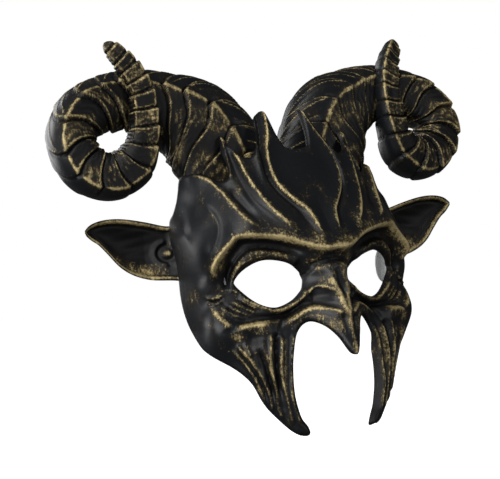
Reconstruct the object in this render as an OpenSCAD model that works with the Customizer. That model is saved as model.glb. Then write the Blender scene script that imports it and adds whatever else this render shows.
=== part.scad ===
// Horned demon half mask: a thin moulded face shell with open eyes and mouth, coiled ram horns,
// pointed ears, foam pads inside and a swivelling strap tab at each temple.
// Origin midway between the eye openings. +X to the wearer's left, the face looks along -Y, +Z up.

/* [Face shell] */
// Width of the face across the temples
face_width = 144; // [118:1:176]
// How far the temples wrap back from the front of the face
wrap_depth = 50; // [42:1:60]
// Height of the crown points above the eye line
crown_height = 93; // [78:1:112]
// Length of the cheek prongs below the eye line
prong_length = 82; // [68:1:99]
// Wall of the moulded shell
shell_wall = 2.6; // [2:0.1:4]
// Height of the beak of the nose above the face
nose_height = 17; // [10:1:21]
// Height of the brow, cheek and flame ridges
ridge_height = 4.5; // [2:0.5:6]

/* [Eyes] */
// Distance between the centres of the eye openings
eye_spacing = 66; // [58:1:74]
// Width of each eye opening, measured round the face
eye_width = 40; // [33:1:44]
// Height of each eye opening
eye_height = 26; // [20:1:30]

/* [Horns] */
// Distance from the middle of the face to the centre of each coil
coil_offset = 98.7; // [90:0.1:119]
// Height of the coil centre above the eye line
coil_height = 81; // [70:1:95]
// Distance of the coil centre behind the eye line
coil_setback = 40; // [34:1:48]
// Size of the coil, 1 is 82 mm across
coil_size = 1; // [0.85:0.01:1.2]
// Wall of the hollow horns
horn_wall = 2.2; // [1.6:0.1:2.7]

/* [Ears] */
// Length of each ear from the temple to its tip
ear_length = 51; // [42:1:61]
// Depth of the hollow in the front of each ear
ear_bowl = 7; // [3:1:9]
// Thickness of the ears
ear_wall = 2.6; // [2:0.1:3.2]

/* [Strap fittings] */
// Diameter of the post that each strap tab turns on
post_d = 4; // [3.2:0.1:4.8]
// Thickness of the strap tabs
tab_thickness = 2.4; // [2:0.1:2.9]
// Width of the elastic strap that the slot takes
strap_width = 16; // [13:1:20]
// Width of the slot in each strap tab
slot_gap = 4.6; // [4.2:0.1:5]
// Radial clearance of the post in its tab
post_clearance = 0.08; // [0.05:0.01:0.1]

/* [Foam pads] */
// Thickness of the foam pads
pad_thickness = 5; // [4:0.5:6]

/* [Hidden] */
$fn = 40;

black = [0.09, 0.09, 0.1];
bronze = [0.45, 0.36, 0.2];
grey = [0.5, 0.5, 0.5];
foam = [0.75, 0.75, 0.74];
steel = [0.7, 0.7, 0.72];

// ---- The face as a surface: p is the distance round the face from its centre line, z the height.

half_width = face_width / 2;
mm_per_degree = half_width * PI / 180;   // round the face
crown_k = crown_height / 93;             // stretches what lies above the brow
prong_k = prong_length / 82;             // stretches what lies below the eyes
round_k = half_width / 72;               // stretches the outline round the face
brow_z = 16;                             // heights between these two stay where the eyes are
lid_z = -14;

function clamp(v, low, high) = min(max(v, low), high);
function bump(d, width) = exp(-d * d / (width * width));
function unit(v) = v / norm(v);

// The foremost line of the face, and its half width, at a height
function front_y(z) = -9 + 33 * pow(max(z - 5, 0) / (87 * crown_k), 1.8)
                      + 5 * pow(max(5 - z, 0) / 85, 2);
function half_w(z) = half_width - 17 * pow(clamp((z - 25) / (67 * crown_k), 0, 1.2), 1.7)
                     - 14 * pow(max(-z, 0) / 80, 1.5);

// A point on the face, raised by h along the outward normal
function face_point(p, z, h) =
    let (turn = p / mm_per_degree,
         w = half_w(z),
         n = unit([wrap_depth * sin(turn), -w * cos(turn)]))
    [w * sin(turn) + h * n.x, front_y(z) + wrap_depth * (1 - cos(turn)) + h * n.y, z];

// An outline's heights follow the crown and the prongs
function fit_z(z) = z > brow_z ? brow_z + (z - brow_z) * (93 * crown_k - brow_z) / (93 - brow_z)
                  : z < lid_z ? lid_z + (z - lid_z) * (82 * prong_k + lid_z) / (82 + lid_z) : z;
function fit(points) = [for (q = points) [q.x * round_k, fit_z(q.y)]];

// Right half of the rim, from the notch in the crown round to the tip of the nose
half_rim = fit([
    [0, 70], [9, 72], [14, 88], [17, 93], [25, 88], [27, 73], [33, 67], [41, 68], [48, 75],
    [52, 80], [54, 72], [50, 64], [50, 58], [54, 55], [60, 56], [67, 60], [74, 61], [86, 59],
    [88, 47], [92, 41], [100, 35], [98, 6], [97, -6], [95, -15], [92, -22], [84, -32], [73, -39],
    [61, -46], [55, -53], [51, -62], [44, -70], [35, -78], [28, -82], [23, -81], [25, -77],
    [28, -73], [30, -62], [28, -37], [25, -29], [21, -24], [17, -22], [13, -24], [8, -27], [0, -41]
]);
rim = concat(half_rim, [for (i = [len(half_rim) - 2:-1:1]) [-half_rim[i].x, half_rim[i].y]]);

// Eye opening about its own centre, in shares of its width and height
eye_shape = [
    [0.60, 0.10], [0.49, 0.30], [0.29, 0.45], [0.04, 0.50], [-0.17, 0.40], [-0.33, 0.20],
    [-0.49, 0.02], [-0.38, -0.24], [-0.25, -0.42], [-0.05, -0.50], [0.20, -0.40], [0.37, -0.22]
];
eye_p = asin(eye_spacing / 2 / half_width) * mm_per_degree;
lid_line = [[-0.47, 0], [-0.27, -0.35], [0, -0.5], [0.25, -0.35]];
eye_hole = [for (q = eye_shape) [eye_p + q.x * eye_width, q.y * eye_height]];

// Ridges drawn on the face
brow_line = fit([[69, 6], [68, 13], [57, 23], [41, 25], [23, 20], [6, 16], [0, 15]]);
cheek_line = fit([[84, -6], [79, -15], [68, -20], [48, -22], [30, -19]]);
prong_line = fit([[46, -30], [36, -50], [27, -80]]);
flame_lines = [
    fit([[52, 80], [40, 61], [27, 38], [14, 23]]),
    fit([[17, 93], [21, 68], [18, 50], [4, 30]]),
    fit([[86, 59], [66, 56], [48, 41], [33, 26]])
];

function segment_distance(q, a, b) =
    let (d = b - a, t = clamp((q - a) * d / (d * d), 0, 1)) norm(q - a - t * d);
function line_distance(q, line) =
    min([for (i = [0:len(line) - 2]) segment_distance(q, line[i], line[i + 1])]);
function loop_distance(q, loop) =
    min([for (i = [0:len(loop) - 1]) segment_distance(q, loop[i], loop[(i + 1) % len(loop)])]);
function crossings(q, loop) = [
    for (i = [0:len(loop) - 1])
        let (a = loop[i], b = loop[(i + 1) % len(loop)])
        if ((a.y > q.y) != (b.y > q.y) && q.x < a.x + (q.y - a.y) / (b.y - a.y) * (b.x - a.x)) 1
];
function inside(q, loop) = len(crossings(q, loop)) % 2 == 1;

// How far a place is inside the moulding, negative outside it and in the eyes
function depth_in(q) =
    let (to_rim = loop_distance(q, rim) * (inside(q, rim) ? 1 : -1),
         e = [abs(q.x), q.y],
         to_eye = loop_distance(e, eye_hole) * (inside(e, eye_hole) ? -1 : 1),
         d = min(to_rim, to_eye))
    abs(d) < 0.01 ? 0.01 : d;

lid_recess = 4;
lid = [for (s = lid_line) [eye_p + s.x * eye_width, s.y * eye_height]];

// Profile of the nose along the centre line: height at a place between brow and beak
beak_z = fit_z(-41);
function nose_profile(z) =
    z < -13 ? nose_height * (0.70 + 0.30 * (z + 13) / (beak_z + 13))
  : z < 12 ? nose_height * (0.70 - 0.36 * (z + 13) / 25)
  : nose_height * 0.34 * bump(z - 12, 16);
function relief(p, z) =
    let (q = [abs(p), z])
    nose_profile(z) * bump(p, z < 0 ? 9 : 9 + z * 0.3)
    + ridge_height * bump(line_distance(q, brow_line), 6)
    + ridge_height * 1.2 * bump(line_distance(q, cheek_line), 6)
    + ridge_height * 0.8 * bump(line_distance(q, prong_line), 12)
    + ridge_height * 0.8 * bump(min([for (f = flame_lines) line_distance(q, f)]), 6)
    - lid_recess * bump(line_distance(q, lid), 7);

// ---- The shell: squares of the pattern, clipped at its edges, front skin, back skin and rim.

step = 4;
columns = ceil(102 * round_k / step);
low_row = floor(-84 * prong_k / step);
high_row = ceil(95 * crown_k / step);
depths = [for (j = [low_row:high_row]) [for (i = [-columns:columns]) depth_in([i, j] * step)]];
function depth_at(i, j) = depths[j - low_row][i + columns];

// The edge between two corners crosses the outline here; corners always come in the same order
function edge_crossing(a, b) =
    let (da = depth_at(a.x, a.y), db = depth_at(b.x, b.y))
    (a + (b - a) * clamp(da / (da - db), 0.08, 0.92)) * step;

// A square's part inside the outline: each point with 1 where the rim leaves it
function clipped(i, j) =
    let (ring = [[i, j], [i + 1, j], [i + 1, j + 1], [i, j + 1]],
         in = [for (c = ring) depth_at(c.x, c.y) > 0])
    [for (k = [0:3])
        let (n = (k + 1) % 4,
             x = k < 2 ? [ring[k], ring[n]] : [ring[n], ring[k]])
        each concat(
            in[k] ? [[ring[k] * step, 0]] : [],
            in[k] != in[n] ? [[edge_crossing(x[0], x[1]), in[k] ? 1 : 0]] : [])];

function fan(s, n, turned) = [
    for (k = [1:n - 2]) turned ? [s, s + k + 1, s + k] : [s, s + k, s + k + 1]
];

module shell_solid() {
    cells = [for (j = [low_row:high_row - 1]) for (i = [-columns:columns - 1])
             let (c = clipped(i, j)) if (len(c) > 2) c];
    counts = [for (c = cells) len(c)];
    starts = [for (k = 0, s = 0; k < len(counts); s = s + 2 * counts[k], k = k + 1) s];
    points = [for (c = cells)
        let (h = [for (v = c) relief(v[0].x, v[0].y)])
        each concat([for (k = [0:len(c) - 1]) face_point(c[k][0].x, c[k][0].y, h[k])],
                    [for (k = [0:len(c) - 1]) face_point(c[k][0].x, c[k][0].y, h[k] - shell_wall)])];
    faces = [for (m = [0:len(cells) - 1])
        let (s = starts[m], n = counts[m], c = cells[m])
        each concat(
            fan(s, n, true),
            fan(s + n, n, false),
            [for (k = [0:n - 1]) if (c[k][1] == 1)
                let (x = (k + 1) % n)
                each [[s + k, s + x, s + n + x], [s + k, s + n + x, s + n + k]]])];
    polyhedron(points, faces);
}

// ---- Lofted solids: rings of equal count joined in turn, with an end cap on each end ring.

function joined(rings, base, turned) =
    let (n = len(rings[0]))
    [for (i = [0:len(rings) - 2]) for (k = [0:n - 1])
        let (a = base + i * n + k, b = base + i * n + (k + 1) % n)
        each turned ? [[a, b + n, b], [a, a + n, b + n]] : [[a, b, b + n], [a, b + n, a + n]]];

module loft(rings) {
    n = len(rings[0]);
    m = len(rings);
    shares = [for (k = [1:n]) 1 / n];
    points = concat([for (r = rings) each r], [shares * rings[0], shares * rings[m - 1]]);
    faces = concat(joined(rings, 0, false),
        [for (k = [0:n - 1]) [m * n, (k + 1) % n, k]],
        [for (k = [0:n - 1]) [m * n + 1, (m - 1) * n + k, (m - 1) * n + (k + 1) % n]]);
    polyhedron(points, faces);
}

// ---- Horns

horn_sides = 16;
horn_lean = 8;          // degrees that the outer side of the coil is turned back
seat_p = 52 * round_k;  // the root lies behind the crown here
seat_z = fit_z(70);
seat_gap = 12;
coil_centre = [coil_offset, coil_setback, coil_height];
root_centre = face_point(seat_p, seat_z, -shell_wall - seat_gap);

// Stations out, up and back from the root: then half width and half depth
root_stations = [[-3, -13, 2, 27, 9.5], [13, 18, 9, 25, 14.5]];
// Stations out, up and back from the coil's centre, round the coil to the tip
coil_stations = [
    [-36.5, 21.5, 16, 21.5, 16], [-20, 25, 16, 17.4, 14.2], [-3, 22, 12, 15, 13.4],
    [11.4, 15.6, 7, 13.6, 12.6], [19.4, 3, 3, 13.2, 12.2], [14.6, -13, 1, 12.8, 11.8],
    [1.5, -19.4, 0.6, 12.2, 11.2], [-11, -13.5, 0.4, 10.6, 9.6], [-16.8, 0, 0, 8.8, 8.1],
    [-19.2, 14, 0.4, 7.5, 6.8], [-19, 26, 1, 6.9, 6.2], [-16, 37, 3.6, 6.5, 5.7],
    [-11, 46, 7, 5.3, 4.5], [-5.5, 53.5, 10.6, 2, 1.8]
];
function lean(v) = [v.x * cos(horn_lean), v.x * sin(horn_lean) + v.y, v.z];
function station(s, centre, k) =
    let (c = centre + lean([s[0], s[2], s[1]] * k)) [c.x, c.y, c.z, s[3] * k, s[4] * k];
horn_line = concat(
    [for (s = root_stations) station(s, root_centre, 1)],
    [for (s = coil_stations) station(s, coil_centre, coil_size)]);

// A smooth curve through rows of numbers
function curve(rows, n) =
    let (last = len(rows) - 1)
    [for (i = [0:last - 1]) for (k = [0:n - 1])
        let (t = k / n, a = rows[max(i - 1, 0)], b = rows[i], c = rows[i + 1],
             d = rows[min(i + 2, last)])
        0.5 * (2 * b + (c - a) * t + (2 * a - 5 * b + 4 * c - d) * t * t
               + (3 * b - a - 3 * c + d) * t * t * t),
     rows[last]];
function place(row) = [row[0], row[1], row[2]];

// Rings square to the curve, a little boxy, drawn in by the wall
function horn_rings(rows, wall) =
    [for (i = [0:len(rows) - 1])
        let (t = unit(place(rows[min(i + 1, len(rows) - 1)]) - place(rows[max(i - 1, 0)])),
             front = unit([0, -1, 0] + t.y * t),
             side = cross(front, t))
        [for (k = [0:horn_sides - 1])
            let (a = k * 360 / horn_sides,
                 r = 0.97 * pow(pow(abs(cos(a)), 2.6) + pow(abs(sin(a)), 2.6), -1 / 2.6))
            place(rows[i]) + side * r * cos(a) * (rows[i][3] - wall)
                           + front * r * sin(a) * (rows[i][4] - wall)]];

module horn_solid() {
    rows = curve(horn_line, 3);
    hollow_end = max([for (i = [0:len(rows) - 1]) if (rows[i][4] > 2 * horn_wall + 1) i]);
    outer = horn_rings(rows, 0);
    inner = horn_rings([for (i = [0:hollow_end]) rows[i]], horn_wall);
    n = horn_sides;
    m = len(outer);
    k0 = m * n;
    tip = k0 + len(inner) * n;
    points = concat([for (r = outer) each r], [for (r = inner) each r],
                    [place(rows[m - 1]), place(rows[hollow_end])]);
    faces = concat(
        joined(outer, 0, true),
        joined(inner, k0, false),
        [for (k = [0:n - 1]) let (x = (k + 1) % n)
            each [[k, k0 + x, k0 + k], [k, x, k0 + x],
                  [tip, (m - 1) * n + x, (m - 1) * n + k],
                  [tip + 1, tip - n + k, tip - n + x]]]);
    polyhedron(points, faces);
}

// The spigot: an oval stub inside the root of the horn, with a foot bedded on the back of the shell
spigot_clear = 0.3;
spigot_half_depth = root_stations[0][4] - horn_wall - spigot_clear;
spigot_width = 22;
spigot_length = 26;
foot_thickness = 4;
screw_d = 2.9;
screw_head_d = 5.6;
screw_pitch = 11;
root_mouth = place(horn_line[0]);
root_rise = root_stations[1] - root_stations[0];
root_run = norm([root_rise[0], root_rise[1]]);
root_tilt = atan2(root_rise[0], root_rise[1]);
root_back = atan2(root_rise[2], root_run);
screw_low = 6;          // height of the lower screw above the mouth of the root

// Places what is drawn along +Z from the mouth of the root, with +Y backwards
module at_root() {
    translate(root_mouth) rotate([0, root_tilt, 0]) rotate([-root_back, 0, 0]) children();
}

module horn_spigot() {
    difference() {
        at_root() union() {
            translate([0, 0, -4]) linear_extrude(spigot_length)
                scale([spigot_width / 2 / spigot_half_depth, 1]) circle(spigot_half_depth);
            translate([-spigot_width / 2, -spigot_half_depth, -14])
                cube([spigot_width, foot_thickness, 16]);
        }
        at_root() for (s = [0, 1])
            translate([0, 0, screw_low + s * screw_pitch]) rotate([-90, 0, 0])
                cylinder(h = 20, d = screw_d - 0.4);
    }
}

module horn_screws() {
    at_root() for (s = [0, 1])
        translate([0, 0, screw_low + s * screw_pitch]) rotate([-90, 0, 0]) {
            translate([0, 0, 1]) cylinder(h = horn_back(s) - 0.5, d = screw_d - 0.4);
            translate([0, 0, horn_back(s)]) cylinder(h = 1.8, d1 = screw_head_d, d2 = 3.6);
        }
}
// Where a screw leaves the back of the horn
function horn_back(s) = root_stations[0][4]
    + root_rise[4] * (screw_low + s * screw_pitch) / root_run - 0.6;

// ---- Ears

ear_z = 20;             // height of the middle of the root
ear_root_p = 97 * round_k;
function rear_edge(z) = face_point((97 + 3 * clamp((z - 6) / 29, 0, 1)) * round_k, z, -1.2);
ear_root_y = rear_edge(ear_z).y;
ear_root_x = rear_edge(ear_z).x - 1.2;

// Along the ear: share of its length, height of the lower edge, height of the upper edge
ear_line = [
    [0, 5, 35], [0.1, 6, 35.5], [0.3, 7, 38], [0.48, 10, 39.5], [0.62, 14.5, 40],
    [0.74, 21.5, 39.9], [0.84, 27, 39.2], [0.93, 30.2, 37.6], [1, 33.6, 35]
];
ear_span = 10;
function ear_front(s, t) =
    let (root = rear_edge(5 + 30 * t), out = clamp(s / 0.3, 0, 1))
    (1 - out) * (root.y + 1) + out * (ear_root_y + 5)
    + ear_bowl * pow(sin(180 * t), 0.8) * sin(180 * clamp(0.12 + s * 0.8, 0, 1)) ;
module ear_solid() {
    rows = curve(ear_line, 2);
    loft([for (r = rows)
        let (x = ear_root_x + r[0] * ear_length)
        concat([for (k = [0:ear_span]) let (t = k / ear_span)
                   [x, ear_front(r[0], t), r[1] + (r[2] - r[1]) * t]],
               [for (k = [ear_span:-1:0]) let (t = k / ear_span)
                   [x, ear_front(r[0], t) + ear_wall, r[1] + (r[2] - r[1]) * t]])]);
}

// ---- Strap fittings: a post bedded inside the temple, a tab that turns on it, and a cap

post_y = 32;
post_z = 27;
// Inner face of the temple level with the post
post_turn = acos(1 - (post_y - front_y(post_z)) / wrap_depth);
temple_x = face_point(post_turn * mm_per_degree, post_z, -shell_wall).x;
tab_outer_x = temple_x - 3.4;
tab_end_r = 6;
tab_reach = 13;
tab_height = strap_width + 8;
tab_corner = 3;
tab_gap = 0.25;
cap_thickness = 1.6;

module along_x(x) {
    translate([x, post_y, post_z]) rotate([0, 90, 0]) children();
}
module strap_post() {
    along_x(tab_outer_x + tab_gap) cylinder(h = 3.6, d = 8);
    along_x(tab_outer_x - tab_thickness - 2 * tab_gap - cap_thickness + 0.3)
        cylinder(h = tab_thickness + cap_thickness + 3, d = post_d);
}
module strap_tab() {
    slot_y = tab_reach - 2.6 - slot_gap / 2;
    translate([tab_outer_x - tab_thickness, post_y, post_z]) rotate([90, 0, 90])
        linear_extrude(tab_thickness) difference() {
            hull() {
                circle(tab_end_r);
                for (s = [-1, 1])
                    translate([tab_reach - tab_corner, s * (tab_height / 2 - tab_corner) ])
                        circle(tab_corner);
            }
            circle(d = post_d + 2 * post_clearance);
            translate([slot_y - slot_gap / 2, -(strap_width + 1) / 2])
                square([slot_gap, strap_width + 1]);
        }
}
module post_cap() {
    x = tab_outer_x - tab_thickness - tab_gap - cap_thickness;
    difference() {
        along_x(x) cylinder(h = cap_thickness, d = post_d + 5);
        along_x(x - 1) cylinder(h = cap_thickness + 2, d = post_d);
    }
}

// ---- Foam pads bedded on the inside of the shell

pad_step = 4;
pad_gap = 0.1;
// Its ends are drawn in to this share of its height
module pad(p0, p1, z0, z1, end_share) {
    cols = ceil((p1 - p0) / pad_step);
    rows = ceil((z1 - z0) / pad_step);
    mid = (z0 + z1) / 2;
    function edge(i, n) = min(i, n - i) == 0 ? 0.35 : 1;
    function share(i) = end_share + (1 - end_share) * sqrt(1 - pow(2 * i / cols - 1, 2));
    function pad_z(i, j) = mid + (z1 - z0) * (j / rows - 0.5) * share(i);
    loft([for (i = [0:cols])
        let (p = p0 + (p1 - p0) * i / cols)
        concat([for (j = [0:rows]) let (z = pad_z(i, j))
                   face_point(p, z, relief(p, z) - shell_wall - pad_gap)],
               [for (j = [rows:-1:0]) let (z = pad_z(i, j))
                   face_point(p, z, relief(p, z) - shell_wall - pad_gap
                              - pad_thickness * edge(i, cols) * edge(j, rows))])]);
}
brow_pad_half = 30 * round_k;
brow_pad_z = [fit_z(32), fit_z(46)];
temple_pad_p = [66, 106] * round_k;
temple_pad_z = [-13, 13];

// ---- The pieces

module right_side() { mirror([1, 0, 0]) children(); }

module face_shell() { color(black) shell_solid(); }
module horn_left() { color(bronze) horn_solid(); }
module horn_right() { color(bronze) right_side() horn_solid(); }
module ear_left() { color(black) ear_solid(); }
module ear_right() { color(black) right_side() ear_solid(); }
module horn_spigot_left() { color(black) horn_spigot(); }
module horn_spigot_right() { color(black) right_side() horn_spigot(); }
module horn_screws_left() { color(steel) horn_screws(); }
module horn_screws_right() { color(steel) right_side() horn_screws(); }
module strap_post_left() { color(black) strap_post(); }
module strap_post_right() { color(black) right_side() strap_post(); }
module strap_tab_left() { color(grey) strap_tab(); }
module strap_tab_right() { color(grey) right_side() strap_tab(); }
module post_cap_left() { color(grey) post_cap(); }
module post_cap_right() { color(grey) right_side() post_cap(); }
module brow_pad() {
    color(foam) pad(-brow_pad_half, brow_pad_half, brow_pad_z[0], brow_pad_z[1], 0.6);
}
module temple_pad() {
    pad(temple_pad_p[0], temple_pad_p[1], temple_pad_z[0], temple_pad_z[1], 0.4);
}
module temple_pad_left() { color(foam) temple_pad(); }
module temple_pad_right() { color(foam) right_side() temple_pad(); }

face_shell();
horn_left();
horn_right();
ear_left();
ear_right();
horn_spigot_left();
horn_spigot_right();
horn_screws_left();
horn_screws_right();
strap_post_left();
strap_post_right();
strap_tab_left();
strap_tab_right();
post_cap_left();
post_cap_right();
brow_pad();
temple_pad_left();
temple_pad_right();
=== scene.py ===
"""Horned demon half mask: black plastic brushed with gilt, its fittings and its foam pads.

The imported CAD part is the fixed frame. Every piece below is modelled in the same frame, in metres.
The wearer's left is +X, the face looks along -Y and +Z is up.
"""

import math

import bpy
import numpy as np
from mathutils import Matrix
from mathutils import Vector


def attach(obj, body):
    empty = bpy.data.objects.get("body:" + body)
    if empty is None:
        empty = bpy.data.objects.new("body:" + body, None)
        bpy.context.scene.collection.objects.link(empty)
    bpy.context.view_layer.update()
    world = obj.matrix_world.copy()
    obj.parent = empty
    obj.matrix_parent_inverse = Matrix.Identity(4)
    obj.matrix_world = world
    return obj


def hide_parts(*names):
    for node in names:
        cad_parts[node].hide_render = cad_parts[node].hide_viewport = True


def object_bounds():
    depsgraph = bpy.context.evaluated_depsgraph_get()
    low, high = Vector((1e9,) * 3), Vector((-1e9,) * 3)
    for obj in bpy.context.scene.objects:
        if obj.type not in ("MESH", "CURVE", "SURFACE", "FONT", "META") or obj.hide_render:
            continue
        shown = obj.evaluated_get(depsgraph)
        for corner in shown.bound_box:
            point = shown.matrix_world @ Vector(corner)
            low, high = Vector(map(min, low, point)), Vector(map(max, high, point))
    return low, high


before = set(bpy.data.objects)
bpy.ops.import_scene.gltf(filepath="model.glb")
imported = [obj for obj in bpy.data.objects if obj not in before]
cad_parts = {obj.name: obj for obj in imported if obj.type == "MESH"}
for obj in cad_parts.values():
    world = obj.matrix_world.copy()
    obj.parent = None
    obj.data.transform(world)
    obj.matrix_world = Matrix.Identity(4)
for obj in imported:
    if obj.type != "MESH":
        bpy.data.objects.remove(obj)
cad_low, cad_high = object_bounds()

MM = 0.001
SIDES = (("left", 1), ("right", -1))


# ---------------------------------------------------------------- Shader maths


class Socket:
    """One value in a material. Arithmetic on it adds Math nodes."""

    def __init__(self, finish, plug):
        self.finish = finish
        self.plug = plug

    def __add__(self, other):
        return self.finish.maths("ADD", self, other)

    def __sub__(self, other):
        return self.finish.maths("SUBTRACT", self, other)

    def __rsub__(self, other):
        return self.finish.maths("SUBTRACT", other, self)

    def __mul__(self, other):
        return self.finish.maths("MULTIPLY", self, other)

    __radd__ = __add__
    __rmul__ = __mul__

    def clear_of(self, low, high):
        """0 below low, 1 above high, smooth in between."""
        out = self.finish.node(
            "ShaderNodeMapRange",
            {"interpolation_type": "SMOOTHSTEP"},
            {"Value": self, "From Min": low, "From Max": high},
        )
        return out["Result"]


class Outputs:
    """The outputs of one node, by name."""

    def __init__(self, finish, node):
        self.finish = finish
        self.node = node

    def __getitem__(self, name):
        return Socket(self.finish, self.node.outputs[name])


class Finish:
    """The nodes of a material, or of the world, being made up."""

    def __init__(self, owner):
        self.owner = owner
        self.owner.use_nodes = True
        self.tree = self.owner.node_tree
        self.tree.nodes.clear()

    def node(self, kind, settings=None, values=None):
        made = self.tree.nodes.new(kind)
        for key, value in (settings or {}).items():
            setattr(made, key, value)
        for key, value in (values or {}).items():
            if isinstance(value, Socket):
                self.tree.links.new(value.plug, made.inputs[key])
            else:
                made.inputs[key].default_value = value
        return Outputs(self, made)

    def maths(self, operation, a, b):
        return self.node("ShaderNodeMath", {"operation": operation}, {0: a, 1: b})["Value"]

    def place(self):
        return self.node("ShaderNodeTexCoord")["Object"]

    def attribute(self, name):
        return self.node("ShaderNodeAttribute", {"attribute_name": name})["Fac"]

    def stretched(self, scale):
        return self.node(
            "ShaderNodeMapping", None, {"Vector": self.place(), "Scale": scale}
        )["Vector"]

    def noise(self, vector, scale, detail=3.0, rough=0.55, warp=0.0):
        return self.node(
            "ShaderNodeTexNoise",
            None,
            {
                "Vector": vector,
                "Scale": scale,
                "Detail": detail,
                "Roughness": rough,
                "Distortion": warp,
            },
        )["Fac"]

    def cells(self, vector, scale):
        return self.node(
            "ShaderNodeTexVoronoi", {"feature": "F1"}, {"Vector": vector, "Scale": scale}
        )["Distance"]

    def blend(self, factor, a, b):
        """Colour a where factor is 0, colour b where it is 1."""
        out = self.node(
            "ShaderNodeMix", {"data_type": "RGBA"}, {0: factor, 6: a, 7: b}
        )
        return Socket(self, out.node.outputs[2])

    def bump(self, height, depth, strength):
        return self.node(
            "ShaderNodeBump", None, {"Height": height, "Distance": depth, "Strength": strength}
        )["Normal"]

    def surface(self, values):
        shader = self.node("ShaderNodeBsdfPrincipled", None, values)
        self.node("ShaderNodeOutputMaterial", None, {"Surface": shader["BSDF"]})
        return self.owner


def rgb(r, g, b):
    """A colour given as 0-255 on the screen, turned into the linear one that nodes take."""
    linear = [((c / 255 + 0.055) / 1.055) ** 2.4 if c > 10 else c / 255 / 12.92 for c in (r, g, b)]
    return (*linear, 1.0)


def black_and_gilt(name, smooth_tone, worn=1.0):
    """Black moulded plastic with gilt dragged over what stands proud.

    The mesh carries "gilt", how much paint the brush left, and a painted-shade number, how dark the
    hollows and the faces that lie in shade are painted.
    """
    f = Finish(bpy.data.materials.new(name))
    here = f.place()
    gilt = f.attribute("gilt")
    painted_shade = f.attribute("painted_shade")
    fine = f.noise(here, 900, 4.0, 0.7)
    coarse = f.noise(here, 170, 3.0, 0.6)
    drag = f.noise(f.stretched((1.0, 1.0, 0.28)), 620, 3.0, 0.65, 0.6)
    slow = f.noise(here, 70, 2.0, 0.5)
    speck = (fine - 0.5) * 3.4 + (drag - 0.5) * 2.6 + (coarse - 0.5) * 1.6 + (slow - 0.5) * 1.4
    paint = (gilt * 1.55 + speck * 0.62 * worn - 0.5).clear_of(0.05, 0.8)
    dust = (gilt * 1.3 + (slow - 0.5) * 1.1 + speck * 0.3 - 0.12).clear_of(0.0, 1.0)
    darker = rgb(*[c * 0.86 for c in smooth_tone])
    plastic = f.blend(coarse.clear_of(0.3, 0.7), rgb(*smooth_tone), darker)
    # Painted shade: hollows and faces that lie in shade are darkened towards near black
    plastic = f.blend(painted_shade.clear_of(0.05, 0.75), plastic, rgb(4, 4, 5))
    plastic = f.blend(dust * 0.42, plastic, rgb(100, 86, 54))
    strong = (gilt * 0.8 + speck * 0.5).clear_of(0.2, 1.1)
    gold = f.blend(strong, rgb(132, 115, 70), rgb(232, 211, 156))
    colour = f.blend(paint, plastic, gold)
    rough = 0.4 + (coarse - 0.5) * 0.14 + paint * 0.12 + painted_shade * 0.2
    height = paint * 0.5 + fine * 0.16 + drag * 0.22
    return f.surface(
        {
            "Base Color": colour,
            "Roughness": rough,
            "Metallic": paint * 0.3,
            "Normal": f.bump(height, 0.00022, 0.8),
            "IOR": 1.48,
        }
    )


def plain_plastic(name, tone, gloss, grain=900):
    f = Finish(bpy.data.materials.new(name))
    here = f.place()
    grainy = f.noise(here, grain, 3.0, 0.6)
    broad = f.noise(here, 60, 2.0, 0.5)
    colour = f.blend(broad.clear_of(0.3, 0.7), rgb(*tone), rgb(*[c * 0.8 for c in tone]))
    return f.surface(
        {
            "Base Color": colour,
            "Roughness": gloss + (broad - 0.5) * 0.12 + (grainy - 0.5) * 0.1,
            "Normal": f.bump(grainy, 0.00012, 0.7),
        }
    )


def foam_finish(name):
    f = Finish(bpy.data.materials.new(name))
    here = f.place()
    pores = f.cells(here, 1500)
    broad = f.noise(here, 90, 3.0, 0.6)
    open_pores = pores.clear_of(0.1, 0.7)
    pale = f.attribute("pale").clear_of(0.3, 0.7)
    colour = f.blend(pale, rgb(158, 161, 164), rgb(246, 247, 247))
    colour = f.blend((1 - open_pores) * 0.35, colour, rgb(120, 122, 125))
    colour = f.blend(broad.clear_of(0.35, 0.8) * 0.35, colour, rgb(140, 138, 134))
    return f.surface(
        {
            "Base Color": colour,
            "Roughness": 0.9 + broad * 0.08,
            "Normal": f.bump(pores, 0.0003, 0.8),
        }
    )


def steel_finish(name):
    f = Finish(bpy.data.materials.new(name))
    brushed = f.noise(f.stretched((1.0, 1.0, 12.0)), 700, 3.0, 0.6)
    colour = f.blend(brushed, rgb(150, 152, 156), rgb(206, 207, 210))
    return f.surface(
        {
            "Base Color": colour,
            "Metallic": 0.55 + brushed * 0.45,
            "Roughness": 0.26 + brushed * 0.2,
            "Normal": f.bump(brushed, 0.00008, 0.6),
        }
    )


FACE = black_and_gilt("face_black_and_gilt", (26, 28, 32))
HORN = black_and_gilt("horn_black_and_gilt", (25, 27, 31), 0.72)
INSIDE = plain_plastic("inside_charcoal", (30, 30, 33), 0.6)
FITTING = plain_plastic("fitting_black", (22, 22, 24), 0.45)
TAB = plain_plastic("tab_black", (30, 30, 33), 0.4, 1400)
FOAM = foam_finish("grey_foam")
STEEL = steel_finish("screw_steel")


# ---------------------------------------------------------------- Modelling helpers


def deselect_all():
    if bpy.context.mode != "OBJECT":
        bpy.ops.object.mode_set(mode="OBJECT")
    bpy.ops.object.select_all(action="DESELECT")


def take(piece):
    """Makes a piece the one that operators act on."""
    deselect_all()
    piece.select_set(True)
    bpy.context.view_layer.objects.active = piece
    return piece


def in_edit(piece, work):
    take(piece)
    bpy.ops.object.mode_set(mode="EDIT")
    work()
    bpy.ops.object.mode_set(mode="OBJECT")


def read(piece):
    co = np.zeros(len(piece.data.vertices) * 3)
    piece.data.vertices.foreach_get("co", co)
    return co.reshape(-1, 3)


def write(piece, co):
    piece.data.vertices.foreach_set("co", np.asarray(co, np.float32).ravel())
    piece.data.update()


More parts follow.
